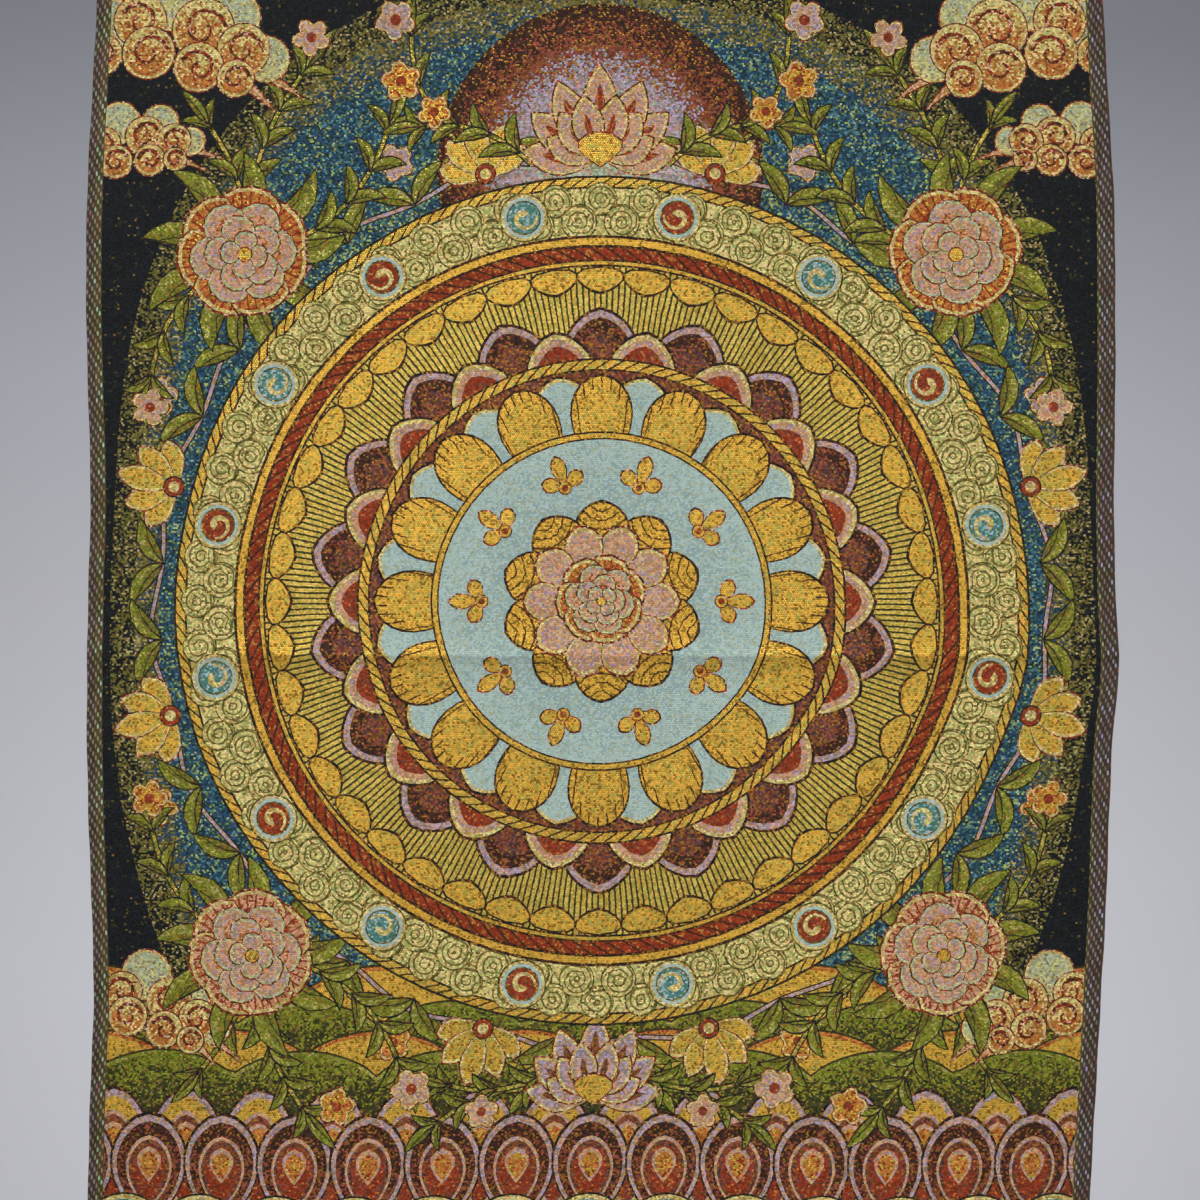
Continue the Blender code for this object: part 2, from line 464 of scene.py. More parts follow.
def lotus(centre, size, tips="pink", cups="brick"):
    """An open lotus seen from the side: pointed petals in two fans, and a gilt cup."""
    for reach, width, leans in ((1.0, 0.40, (-1.45, 1.45, -0.98, 0.98, -0.5, 0.5, 0.0)),
                                (0.72, 0.36, (-1.2, 1.2, -0.72, 0.72, -0.25, 0.25))):
        for lean in leans:
            tip = centre + size * reach * (1 - 0.12 * abs(lean)) * 1j * np.exp(1j * lean)
            petal(centre, tip, size * width, (0.0, "flower line"), (1.0, "cream"),
                  (2.4, tips, None, fade(tip, centre, 0.0, 1.0)),
                  (0.14 * size, cups, spokes(centre, 60), fade(tip, centre, 0.0, 0.7)),
                  belly=0.55, roundness=0.85, bend=0.05 * np.sign(lean))
    petal(centre - 0.10j * size, centre + 0.30j * size, 0.5 * size, (0.0, "flower line"), (1.0, "gold"))


def blossom(centre, size, turn, weave):
    """A small flower of five round petals."""
    banded(lambda inset: lobed(centre, size - inset, 5, 0.42, turn), (0.0, "flower line"), (1.0, "cream"),
           (2.3, weave, None, glow(centre, 0.2 * size, 0.9 * size, 0.9, 0.0)))
    weave_in(circle(centre, 0.26 * size), "brick")


Lobe = namedtuple("Lobe", "across up radius curl")  # a curl of 0 is a plain pale head
CLOUD_LOBES = (
    Lobe(-0.20, 0.62, 0.46, 0), Lobe(0.62, 0.46, 0.40, 0), Lobe(-0.92, 0.16, 0.36, 0),
    Lobe(1.16, -0.02, 0.32, 0), Lobe(-0.56, 0.26, 0.36, -1), Lobe(0.28, 0.26, 0.42, 1),
    Lobe(0.84, 0.06, 0.36, 1), Lobe(-0.98, -0.24, 0.28, -1), Lobe(-0.38, -0.14, 0.36, 1),
    Lobe(0.30, -0.24, 0.34, -1), Lobe(0.80, -0.32, 0.26, 1),
)


def cloud(centre, size, turn, hand):
    """A bank of curled cloud heads: pale at the top, orange in the curls, with a trailing tail."""
    def placed(across, up):
        return centre + size * np.exp(1j * turn) * (hand * across + 1j * up)

    for reach, sag in ((1.75, -0.50), (1.35, -0.66)):
        spine = curve(placed(0.1, -0.36), placed(reach, sag), 0.14 * hand, 12)
        widths = size * 0.12 * (1 - np.linspace(0, 1, 12) ** 2) + 0.6
        banded(lambda inset: ribbon(spine, np.maximum(widths - inset, 0.1)),
               (0.0, "flower line"), (1.0, "peach"), (2.8, "orange"))
    for lobe in CLOUD_LOBES:
        middle = placed(lobe.across, lobe.up)
        radius = lobe.radius * size
        above = middle + radius * np.exp(1j * turn) * 1j
        below = middle - radius * np.exp(1j * turn) * 1j
        roundel(middle, radius, (0.0, "flower line"), (0.9, "cream"))
        if not lobe.curl:
            weave_in(circle(middle, radius - 2.3), "sage", None, fade(above, below, 0.05, 0.9))
            continue
        weave_in(circle(middle, radius - 2.4), "cloud", None, fade(above, below, 0.0, 1.1))
        start = middle + 0.70 * radius * np.exp(1j * (turn + math.pi / 2 - 1.3 * lobe.curl * hand))
        curl = spiral(middle, start, 1.15 * lobe.curl * hand, 16)
        weave_in(ribbon(curl, np.linspace(1.3, 0.7, 16)), "flower line")


# --- the ground, and the blue field that fades into it through stitches of gilt
MEDALLION = 30j
FIELD_WIDE, FIELD_TALL, SQUARENESS = 287.0, 372.0, 2.5


def off_field(points):
    """How far out a point lies on the field: 0 at its middle, 1 at its edge."""
    from_middle = points - MEDALLION
    return (np.abs(from_middle.real / FIELD_WIDE) ** SQUARENESS
            + np.abs(from_middle.imag / FIELD_TALL) ** SQUARENESS) ** (1 / SQUARENESS)


def field(reach):
    """The outline of the field, or of a smaller one inside it."""
    turn = np.exp(1j * math.tau * np.arange(150) / 150)
    return MEDALLION + reach * turn / off_field(MEDALLION + turn)


def field_share(*steps):
    """The second yarn's share by how far out a point lies: (how far out, share)."""
    def share(points):
        return np.interp(off_field(points), *zip(*steps))
    return share


STRIP_PITCH = 8.0


def strip(low_across, high_across, low_up=-TALL / 2, high_up=TALL / 2):
    """A rectangle with points close enough that it can follow the cloth's rolls."""
    corners = np.array([
        complex(low_across, low_up), complex(high_across, low_up),
        complex(high_across, high_up), complex(low_across, high_up)])
    sides = np.roll(corners, -1) - corners
    return np.concatenate([
        corner + side / abs(side) * np.arange(0, abs(side), STRIP_PITCH)
        for corner, side in zip(corners, sides)])


weave_in(strip(-WIDE / 2, WIDE / 2), "ground")
weave_in(field(1.0), "field edge", None, field_share((0.93, 0.62), (1.0, 0.42)))
weave_in(field(0.95), "field rim", None, field_share((0.88, 0.15), (0.95, 0.75)))
weave_in(field(0.90), "field", None, field_share((0.70, 0.34), (0.80, 0.10), (0.90, 0.20)))

# --- a round glow at the top, behind a lotus: dark plum at its rim, pale in the middle
GLOW = 285j
roundel(GLOW, 96, (0.0, "dark line"), (1.6, "dusk", None, glow(GLOW, 70, 94, 0.1, 1.0)),
        (24.0, "soft glow", None, glow(GLOW, 54, 72, 1.0, 0.0)),
        (42.0, "pale glow", None, glow(GLOW, 14, 54, 0.9, 0.0)))

# --- low round hills along the foot, green and gilt by turns, lit along their crests
Hills = namedtuple("Hills", "crest shift light body deep")  # deep: the second yarn's share below
HILL_WIDE, HILL_TALL = 86, 15
across = np.linspace(-WIDE / 2 - 3, WIDE / 2 + 3, 109)
for hills in (
    Hills(-198, 0.5, "orange", "gold", 0.3), Hills(-219, 0.0, "leaf light", "hill", 1.1),
    Hills(-236, 0.5, "orange", "gold", 0.3), Hills(-248, 0.0, "leaf light", "hill", 1.1),
):
    swell = np.abs(np.cos(math.pi * (across / HILL_WIDE + hills.shift))) ** 0.7
    for inset, weave in ((0.0, "leaf line"), (1.3, hills.light), (3.6, hills.body)):
        line = across + 1j * (hills.crest + HILL_TALL * swell - inset)
        foot = [line[-1].real - TALL / 2 * 1j, line[0].real - TALL / 2 * 1j]
        weave_in(np.concatenate([line, foot]), weave, None,
                 fade(1j * (hills.crest + 12), 1j * (hills.crest - 24), 0.0, hills.deep))

# --- a frieze of lotus petals before the hills, in two rows
FriezeRow = namedtuple("FriezeRow", "tip shift body at_tip at_root")
FRIEZE_PITCH, FRIEZE_FOOT = 44, -336
for row in (FriezeRow(-255, 0.5, "gold", 0.0, 0.4), FriezeRow(-270, 0.0, "dusk", 0.9, 0.2)):
    for number in range(-7, 8):
        middle = (number + row.shift) * FRIEZE_PITCH
        root, tip = complex(middle, FRIEZE_FOOT), complex(middle, row.tip)
        petal(root, tip, 47, (0.0, "dark line"), (1.4, "lilac"),
              (4.0, row.body, None, fade(tip, root, row.at_tip, row.at_root)), (9.6, "pink"),
              (11.2, "maroon", None, fade(tip, root, 0.0, 0.8)), (13.4, "brick"), belly=0.56, roundness=0.52)
        petal(tip - 42j, tip - 21j, 15, (0.0, "pink"), (1.9, "orange"))

# --- a pond of scale waves along the foot
WAVE, WAVE_TOP, WAVE_RISE = 27.0, -345, 23
for row in range(5):
    for number in range(-6, 7):
        middle = complex((number + 0.5 * (row % 2)) * 1.72 * WAVE, WAVE_TOP - row * WAVE_RISE)
        roundel(middle, WAVE, (0.0, "leaf line"), (1.2, "cream"),
                (3.8, "teal", None, fade(middle + 1j * WAVE, middle, 0.1, 0.9)),
                (10.0, "disc", rings(middle, 4.0)))

# --- the wreath: a waving vine round the medallion with leaves, gilt palmettes and small flowers
VINE_RADIUS, VINE_SWING, NODES = 261.0, 3.0, 36
for half in (0, 1):
    around = math.pi * (half + np.linspace(0, 1, 109))
    swung = VINE_RADIUS + VINE_SWING * np.sin(NODES / 2 * around)
    stem(MEDALLION + swung * np.exp(1j * around), "lilac")
for side in (-1, 1):
    for number in range(NODES // 2):
        angle = math.radians(90) - side * (number + 0.5) * math.tau / NODES
        out = np.exp(1j * angle)
        node = MEDALLION + (VINE_RADIUS - 4) * out
        for lean in (1.0, -1.0):
            leaf(node, node + 31 * out * np.exp(1j * lean), 12, -0.12 * lean, "young leaf")
        if number in (1, 7, 10, 16):
            for lean in (-1.0, 1.0, -0.5, 0.5, 0.0):
                tip = node + (38 - 8 * abs(lean)) * out * np.exp(1.1j * lean)
                petal(node, tip, 16, (0.0, "flower line"), (0.9, "cream"),
                      (2.3, "gold", None, fade(tip, node, 0.0, 0.9)), roundness=0.8)
            roundel(node + 3 * out, 6.5, (0.0, "dark line"), (0.9, "brick"), (3.2, "cream"))
        elif number in (2, 6, 11, 15):
            blossom(MEDALLION + (VINE_RADIUS + 24) * out, 12, angle, ("lilac", "orange")[number % 2])

# --- leafy shoots, clouds and flowers in the four corners, the same on both sides
Shoot = namedtuple("Shoot", "x y to_x to_y bend pairs size")
SHOOTS = (
    Shoot(206, 232, 122, 322, 0.16, 5, 29),
    Shoot(206, 232, 264, 150, 0.16, 4, 27),
    Shoot(206, 232, 168, 352, -0.10, 5, 28),
    Shoot(206, 232, 236, 316, 0.10, 3, 26),
    Shoot(84, 300, 112, 372, -0.12, 3, 26),
    Shoot(40, 286, 112, 308, 0.14, 4, 26),
    Shoot(204, -176, 264, -92, -0.16, 4, 27),
    Shoot(204, -176, 112, -252, -0.16, 5, 29),
    Shoot(204, -176, 164, -276, 0.10, 5, 28),
    Shoot(204, -176, 240, -252, -0.08, 3, 26),
    Shoot(20, -260, 98, -282, 0.14, 4, 25),
    Shoot(24, -246, 92, -252, -0.12, 3, 22),
)
Puff = namedtuple("Puff", "x y size turn")
PUFFS = (
    Puff(186, 410, 38, 0.0), Puff(250, 356, 45, 0.12), Puff(274, 294, 29, -0.2),
    Puff(266, -212, 34, 0.2),
)
Bloom = namedtuple("Bloom", "x y size weave")
BLOOMS = (
    Bloom(118, 336, 13, "orange"), Bloom(264, 144, 12, "pink"), Bloom(264, -86, 12, "orange"),
    Bloom(108, -256, 13, "pink"), Bloom(122, 372, 13, "lilac"), Bloom(172, 362, 12, "pink"),
    Bloom(98, 318, 11, "orange"), Bloom(152, -266, 12, "orange"), Bloom(66, -270, 11, "pink"),
)
for side in (-1, 1):
    for number, shoot in enumerate(SHOOTS):
        root, tip = complex(side * shoot.x, shoot.y), complex(side * shoot.to_x, shoot.to_y)
        spray(root, tip, side * shoot.bend, shoot.pairs, shoot.size, ("leaf", "young leaf")[number % 2])
    for puff in PUFFS:
        cloud(complex(side * puff.x, puff.y), puff.size, puff.turn * side, -side)
    for heart, size, outer in (
        (complex(side * 208, 234), 39, "orange"), (complex(side * 205, -178), 38, "rose"),
    ):
        for number in range(9):
            out = np.exp(1j * math.tau * (number + 0.3) / 9)
            leaf(heart + 0.5 * size * out, heart + (1.56 + 0.12 * (number % 2)) * size * out, 0.40 * size,
                 0.16 * side, "young leaf")
        peony(heart, size, 0.3 * side, outer)
    for bloom in BLOOMS:
        blossom(complex(side * bloom.x, bloom.y), bloom.size, bloom.x * 0.1, bloom.weave)
lotus(complex(0, 290), 56)
lotus(complex(0, -262), 50, tips="lilac", cups="maroon")

# --- the medallion. From its rim inwards: a gilt cord, a ring of scrolls set with jewels, a gilt
# band, a red cord, gilt scallops over rays, two rings of lotus petals, a gilt cord, gilt petals over
# pale ones, a pale disc with ten small flowers, gilt petals round pink ones, and a peony
roundel(MEDALLION, 250, (0.0, "leaf line"), (1.4, "rope", spokes(MEDALLION, 190, 0.18)),
        (6.4, "dark line"), (7.6, "scroll ground"))
WHORLS = 56
whorl_middles = []
for radius, size, hand, shift in ((236, 10.2, 1, 0.0), (223, 10.8, -1, 0.5)):
    for number in range(WHORLS):
        middle = MEDALLION + radius * np.exp(1j * math.tau * (number + shift) / WHORLS)
        whorl_middles.append(middle)
        roundel(middle, size, (0.0, "scroll line"), (0.9, "scroll ground", coil(middle, 3.5, hand)))
JEWELS = 16
for number in range(JEWELS):
    out = np.exp(1j * math.tau * (number + 0.5) / JEWELS)
    middle = MEDALLION + 229.6 * out
    hand = 1 if number % 2 else -1
    roundel(middle, 14.6, (0.0, "scroll line"), (1.0, "cream"), (2.6, "disc"),
            (4.4, "scroll line"), (5.3, ("teal", "brick")[number % 2]))
    comma = spiral(middle, middle + 8.0j * hand * out, 0.9 * hand, 14)
    weave_in(ribbon(comma, np.linspace(0.6, 2.3, 14)), "cream")
roundel(MEDALLION, 215, (0.0, "dark line"), (1.2, "gold lined", rings(MEDALLION, 4.6)), (6.0, "dark line"),
        (7.2, "red rope", spokes(MEDALLION, 132, -0.15)), (14.2, "dark line"), (15.4, "gold"),
        (17.2, "dark line"), (18.4, "rays", spokes(MEDALLION, 330)))
petal_ring(MEDALLION, 197, 180, 44, 29, lambda root, tip: ((0.0, "dark line"), (1.2, "gold")), belly=0.36)
petal_ring(MEDALLION, 112, 173, 18, 45, lambda root, tip: (
    (0.0, "dark line"), (1.3, "lilac"), (4.0, "dusk", None, fade(tip, root, 0.9, 0.2)),
    (9.0, "maroon", None, fade(tip, root, 0.6, 0.1))), turn=math.tau / 36, belly=0.58)
petal_ring(MEDALLION, 104, 161, 18, 41, lambda root, tip: (
    (0.0, "dark line"), (1.3, "cream"), (3.2, "pink", None, fade(tip, root, 0.0, 0.7)),
    (6.0, "brick", None, fade(tip, root, 0.1, 0.7))), belly=0.58)
roundel(MEDALLION, 143, (0.0, "dark line"), (1.2, "rope", spokes(MEDALLION, 106, 0.18)),
        (6.4, "dark line"), (7.6, "maroon"))
petal_ring(MEDALLION, 76, 135, 16, 38, lambda root, tip: (
    (0.0, "dark line"), (1.1, "cream"), (2.4, "disc", None, fade(tip, root, 0.1, 0.6))),
    turn=math.tau / 32, belly=0.66)
petal_ring(MEDALLION, 70, 134, 16, 37, lambda root, tip: (
    (0.0, "dark line"), (1.1, "gold lined", spokes(MEDALLION, 150), fade(tip, root, 0.1, 0.6)),
    (5.5, "gold", None, fade(tip, root, 0.1, 0.6))), belly=0.64, roundness=0.5)
roundel(MEDALLION, 100, (0.0, "dark line"), (1.1, "gold"), (3.8, "dark line"),
        (4.8, "disc", None, glow(MEDALLION, 50, 92, 0.7, 0.1)))
for number in range(10):
    out = np.exp(1j * math.tau * number / 10)
    node = MEDALLION + 70 * out
    for lean in (-1.1, 1.1, 0.0):
        tip = node + (20 - 5 * abs(lean)) * out * np.exp(1j * lean)
        petal(node, tip, 10, (0.0, "flower line"), (0.9, "gold"), roundness=0.7)
    roundel(node, 4.2, (0.0, "flower line"), (0.8, "gold"), (2.2, "brick"))
petal_ring(MEDALLION, 16, 60, 10, 33, lambda root, tip: (
    (0.0, "dark line"), (1.1, "gold lined", rings(tip, 5.2), fade(tip, root, 0.1, 0.6))), turn=math.tau / 20)
petal_ring(MEDALLION, 14, 47, 10, 24, lambda root, tip: (
    (0.0, "flower line"), (1.0, "cream"), (2.4, "pink", None, fade(tip, root, 0.0, 0.9))))
peony(MEDALLION, 27, math.tau / 14)

# --- plain bands at the two ends, where the hems are sewn down, and the selvedges
OVER = 4.0  # the strips run past the cloth's rim, where they are cut off
LEFT, RIGHT = -WIDE / 2, WIDE / 2
for end in (-1, 1):
    for from_end, depth, weave, rule in (
        (-OVER, 26, "dark line", None), (-OVER, 24.6, "rope", None), (-OVER, 22, "end band", None),
        (10.4, 11.4, "hem thread", stripes(3.2)),
    ):
        low, high = sorted((end * (TALL / 2 - depth), end * (TALL / 2 - from_end)))
        weave_in(strip(LEFT - OVER, RIGHT + OVER, low, high), weave, rule)
for inner, outer, weave in (
    (LEFT + SELVEDGE_WIDTH, LEFT - OVER, "left selvedge"), (LEFT + 4.4, LEFT - OVER, "left edge"),
    (RIGHT - SELVEDGE_WIDTH, RIGHT + OVER, "right selvedge"), (RIGHT - 1.2, RIGHT + OVER, "red edge"),
    (RIGHT - SELVEDGE_WIDTH - 1.5, RIGHT - SELVEDGE_WIDTH, "right lining"),
):
    weave_in(strip(*sorted((inner, outer)), -TALL / 2 - OVER, TALL / 2 + OVER), weave)

# --- the flat sheet is cut along the outlines. The first cut finds which parts of them show; the
# second one follows only those, with a net of points between them for the cloth's relief
GRID = 12.0  # spacing of the net between the outlines, which stays clear of the rim
GRID_CLEAR = 2.0
GRID_ACROSS = int((WIDE / 2 - GRID_CLEAR) / GRID)
GRID_UP = int((TALL / 2 - GRID_CLEAR) / GRID)
FOLD_FLAT = -1.9  # height of the storage fold above the panel's middle
RIM_PITCH = 6.0
LARGE = 9000.0  # square millimetres: the least that a figure covers to show on the back
NEAR_RIM = 0.01


def cut(points, edges, faces):
    """Cuts the flat cloth into triangles: its points, the triangles and the figures over each. Points
    are taken to a hundredth of a millimetre, so that those on a shared line meet."""
    found, _, triangles, _, _, over = delaunay_2d_cdt(
        [Vector((p.real, p.imag)) for p in np.round(points, 2)], edges, faces, 0, 1e-3, bool(faces))
    return np.array([complex(p.x, p.y) for p in found]), triangles, over


def borders(triangles, labels):
    """The edges between triangles with different labels, and those along the rim."""
    edges = np.sort(triangles[:, [0, 1, 1, 2, 2, 0]].reshape(-1, 2), axis=1)
    order = np.lexsort(edges.T)
    edges, owners = edges[order], np.repeat(labels, 3)[order]
    paired = np.append((edges[1:] == edges[:-1]).all(axis=1), False)
    same = np.append(owners[1:] == owners[:-1], False)
    second = np.insert(paired[:-1], 0, False)
    return edges[~second & ~(paired & same)]


def lay_out(chosen, extra):
    """Cuts the cloth along the chosen figures, and gives its points, triangles and figure numbers."""
    ends = np.cumsum([0] + [len(figures[number].outline) for number in chosen])
    points, triangles, over = cut(
        np.concatenate([figures[number].outline for number in chosen]), [],
        [list(range(first, last)) for first, last in zip(ends, ends[1:])])
    kept = [(corner, max(ids)) for corner, ids in zip(triangles, over) if 0 in ids]
    triangles = np.array([corner for corner, _ in kept])
    # the uppermost figure over each triangle; no cut runs between two that are woven alike
    looks = {}
    top = np.array([looks.setdefault(figures[chosen[number]][1:], chosen[number]) for _, number in kept])
    shown = borders(triangles, top)
    used, edges = np.unique(shown, return_inverse=True)
    near = {(round(p.real / GRID), round(p.imag / GRID)) for p in points[used]}
    net = [complex(i, j) * GRID
           for i in range(-GRID_ACROSS, GRID_ACROSS + 1) for j in range(-GRID_UP, GRID_UP + 1)
           if (i, j) not in near]
    tree = BVHTree.FromPolygons([(p.real, p.imag, 0.0) for p in points], triangles.tolist())
    points, triangles, _ = cut(np.concatenate([points[used], net, extra]), edges.reshape(-1, 2).tolist(), [])
    triangles = np.array(triangles)
    middles = points[triangles].mean(axis=1)
    found = [tree.find_nearest((p.real, p.imag, 0.0))[2] for p in middles]
    return points, triangles, top[found]


def area(outline):
    """The area of an outline in square millimetres."""
    return abs((np.conj(outline) * np.roll(outline, -1)).imag.sum()) / 2


def rim(points):
    """The points along the four sides, counter-clockwise."""
    at_side = np.abs(points.real) > WIDE / 2 - NEAR_RIM
    at_end = np.abs(points.imag) > TALL / 2 - NEAR_RIM
    on = np.flatnonzero(at_side | at_end)
    return on[np.argsort(np.angle(points[on]))]


steps = np.arange(-WIDE / 2 + RIM_PITCH / 2, WIDE / 2, RIM_PITCH)
fold_rows = [steps + 1j * (FOLD_FLAT + off) for off in (-14, -6, -3, -1.4, 0, 1.4, 3, 6, 14)]
front_net = np.concatenate([*fold_rows, whorl_middles])
front, front_faces, front_figure = lay_out(range(len(figures)), front_net)
front_rim = rim(front)

# The back follows only the large figures, on the same points along the rim
upward = 1j * np.arange(-TALL / 2 + RIM_PITCH / 2, TALL / 2, RIM_PITCH)
slopes = [side * (WIDE / 2 - SELVEDGE_WIDTH - off) + upward for side in (-1, 1) for off in (0, STEP)]
slopes += [steps + 1j * end * (TALL / 2 - HEM_DEPTH - off) for end in (-1, 1) for off in (0, STEP)]
large = [number for number, figure in enumerate(figures) if area(figure.outline) > LARGE]
back_net = np.concatenate([*fold_rows[1:-1], *slopes, front[front_rim]])
back, back_faces, back_figure = lay_out(large, back_net)
back_rim = rim(back)
assert np.allclose(front[front_rim], back[back_rim], atol=NEAR_RIM)


# --- how it hangs: the two side edges, upright rolls in the cloth, and the storage fold. Metres.
Edge = namedtuple("Edge", "z left right")
EDGES = (
    Edge(z=0.000, left=-0.2935, right=0.2935),
    Edge(z=-0.066, left=-0.2952, right=0.2952),
    Edge(z=-0.125, left=-0.2981, right=0.2981),
    Edge(z=-0.184, left=-0.3009, right=0.3014),
    Edge(z=-0.243, left=-0.3016, right=0.3022),
    Edge(z=-0.302, left=-0.3005, right=0.3022),
    Edge(z=-0.360, left=-0.2993, right=0.3016),
    Edge(z=-0.419, left=-0.3010, right=0.3028),
    Edge(z=-0.463, left=-0.3016, right=0.3046),
    Edge(z=-0.493, left=-0.3019, right=0.3016),
    Edge(z=-0.537, left=-0.3012, right=0.2995),
    Edge(z=-0.596, left=-0.2993, right=0.2975),
    Edge(z=-0.654, left=-0.2981, right=0.2946),
    Edge(z=-0.713, left=-0.3003, right=0.2916),
    Edge(z=-0.772, left=-0.3016, right=0.2887),
    Edge(z=-0.900, left=-0.3020, right=0.2865),
)
Roll = namedtuple("Roll", "x reach top shoulder middle bottom")
ROLL_HEIGHTS = (0.0, -0.10, -0.45, -0.90)
ROLLS = (
    Roll(x=-0.275, reach=0.050, top=0.0, shoulder=0.0030, middle=-0.0012, bottom=-0.0060),
    Roll(x=-0.150, reach=0.070, top=0.0, shoulder=-0.0026, middle=0.0016, bottom=0.0085),
    Roll(x=0.010, reach=0.080, top=0.0, shoulder=0.0024, middle=-0.0014, bottom=-0.0050),
    Roll(x=0.160, reach=0.065, top=0.0, shoulder=-0.0030, middle=0.0012, bottom=0.0080),
    Roll(x=0.280, reach=0.045, top=0.0, shoulder=0.0034, middle=0.0020, bottom=-0.0070),
)
Fold = namedtuple("Fold", "z_left z_right forward reach")
FOLD = Fold(z_left=-0.4516, z_right=-0.4522, forward=0.0020, reach=0.0048)
# Cockling of the cloth between its stiff gilt threads: its height, and its waves in 900 mm
Cockle = namedtuple("Cockle", "height waves_across waves_up phase")
COCKLES = (
    Cockle(0.16, 11, 9, 0.4), Cockle(0.13, -17, 13, 1.9), Cockle(0.11, 23, 5, 3.1),
    Cockle(0.10, 7, -26, 4.4), Cockle(0.08, -29, 21, 5.2),
)
# The tighter selvedges draw the two edges into small waves
PUCKER, PUCKER_PITCH, PUCKER_REACH = 0.0008, 0.047, 0.014


def through(at, places, values):
    """A smooth curve through the given values, read at many places."""
    places, values = np.array(places)[::-1], np.array(values)[::-1]
    slopes = np.gradient(values, places)
    low = np.clip(np.searchsorted(places, at) - 1, 0, len(places) - 2)
    span = places[low + 1] - places[low]
    t = np.clip((at - places[low]) / span, 0.0, 1.0)
    return ((2 * t**3 - 3 * t**2 + 1) * values[low] + (t**3 - 2 * t**2 + t) * span * slopes[low]
            + (3 * t**2 - 2 * t**3) * values[low + 1] + (t**3 - t**2) * span * slopes[low + 1])


def hang(points):
    """Where points of the flat cloth hang: x, y and z of its front, in metres."""
    across = points.real / WIDE + 0.5
    z = (points.imag - TALL / 2) / 1000
    left = through(z, [edge.z for edge in EDGES], [edge.left for edge in EDGES])
    right = through(z, [edge.z for edge in EDGES], [edge.right for edge in EDGES])
    x = left + (right - left) * across
    forward = np.zeros(len(points))
    for roll in ROLLS:
        depths = (roll.top, roll.shoulder, roll.middle, roll.bottom)
        forward += through(z, ROLL_HEIGHTS, depths) * np.exp(-(((x - roll.x) / roll.reach) ** 2))
    fold_z = FOLD.z_left + (FOLD.z_right - FOLD.z_left) * across
    forward += FOLD.forward * np.exp(-np.abs(z - fold_z) / FOLD.reach)
    for cockle in COCKLES:
        turns = math.tau * (cockle.waves_across * points.real + cockle.waves_up * points.imag) / TALL
        forward += cockle.height / 1000 * np.sin(turns + cockle.phase)
    from_side = np.minimum(x - left, right - x)
    turns = math.tau * z / PUCKER_PITCH + 1.3 * np.sin(9 * z) + 2 * np.sign(x)  # uneven waves
    forward += PUCKER * np.exp(-from_side / PUCKER_REACH) * np.sin(turns)
    return x, -forward - CLOTH_THICK / 2000, z


# The cloth grows thicker to the back: a little at the selvedges, more where the ends are turned over.
# A point on a step's own line belongs to the thicker side of it.
from_end = TALL / 2 - np.abs(back.imag)
from_side = WIDE / 2 - np.abs(back.real)
thick = np.where(from_side < SELVEDGE_WIDTH + STEP / 15, SELVEDGE_THICK, CLOTH_THICK)
thick = np.where(from_end < HEM_DEPTH + STEP / 15, HEM_THICK, thick)
x, y, z = hang(np.concatenate([front, back]))
y += np.concatenate([np.zeros(len(front)), thick]) / 1000

# Faces: the front, the back seen from behind, and the rim between them
count, shift = len(front_rim), len(front)
place = np.full(len(front), -1)
place[front_rim] = np.arange(count)
beside = np.zeros(count, int)  # the front triangle that each stretch of the rim belongs to
for first, second in ((0, 1), (1, 2), (2, 0)):
    a, b = place[front_faces[:, first]], place[front_faces[:, second]]
    on = (a >= 0) & (b == (a + 1) % count)
    beside[a[on]] = np.flatnonzero(on)
rim_faces = np.column_stack([
    front_rim, back_rim + shift, np.roll(back_rim, -1) + shift, np.roll(front_rim, -1)])
faces = front_faces.tolist() + (back_faces[:, ::-1] + shift).tolist() + rim_faces.tolist()
figure_of = np.concatenate([front_figure, back_figure, front_figure[beside]])
outward = (np.where(np.abs(back.real) > WIDE / 2 - NEAR_RIM, np.sign(back.real), 0)
           + 1j * np.where(np.abs(back.imag) > TALL / 2 - NEAR_RIM, np.sign(back.imag), 0))
rim_corners = np.column_stack([front[front_rim], (back + thick * outward)[back_rim]])
rim_corners = np.column_stack([rim_corners, np.roll(rim_corners[:, ::-1], -1, axis=0)])
corner_sets = [front[front_faces], back[back_faces[:, ::-1]], rim_corners]

panel_mesh = bpy.data.meshes.new("brocade_panel")
panel_mesh.from_pydata(np.column_stack([x, y, z]).tolist(), [], faces)


def yarns_of(weave):
    """What the materials read for a weave: the numbers of its three yarns, and its grain."""
    return [*(YARN_NUMBER[name] for name in (weave.first, weave.second, weave.third)), weave.grain]


yarn_numbers = np.array([yarns_of(figure.weave) for figure in figures], float)
woven = []  # at each corner of each face: the second yarn's share, the rule's number, flecks and line
face_start = 0
for corners_here in corner_sets:
    figure_here = figure_of[face_start:face_start + len(corners_here)]
    face_start += len(corners_here)
    values = np.zeros((*corners_here.shape, 4))
    hubs = corners_here.mean(axis=1, keepdims=True)
    order = np.argsort(figure_here, kind="stable")
    numbers, starts = np.unique(figure_here[order], return_index=True)
    for number, own in zip(numbers, np.split(order, starts[1:])):
        figure = figures[number]
        values[own, :, 0] = figure.share(corners_here[own]) if figure.share else figure.weave.share
        if figure.rule:
            values[own, :, 1] = figure.rule(corners_here[own], hubs[own])
        values[own, :, 2:] = figure.weave.flecks, figure.weave.line
    woven.append(values.reshape(-1, 4))
for name, domain, values in (
    ("yarns", "FACE", yarn_numbers[figure_of]), ("weave", "CORNER", np.concatenate(woven)),
):
    panel_mesh.attributes.new(name, "FLOAT_COLOR", domain).data.foreach_set("color", values.ravel())
flat_corners = np.concatenate([corners_here.ravel() for corners_here in corner_sets])
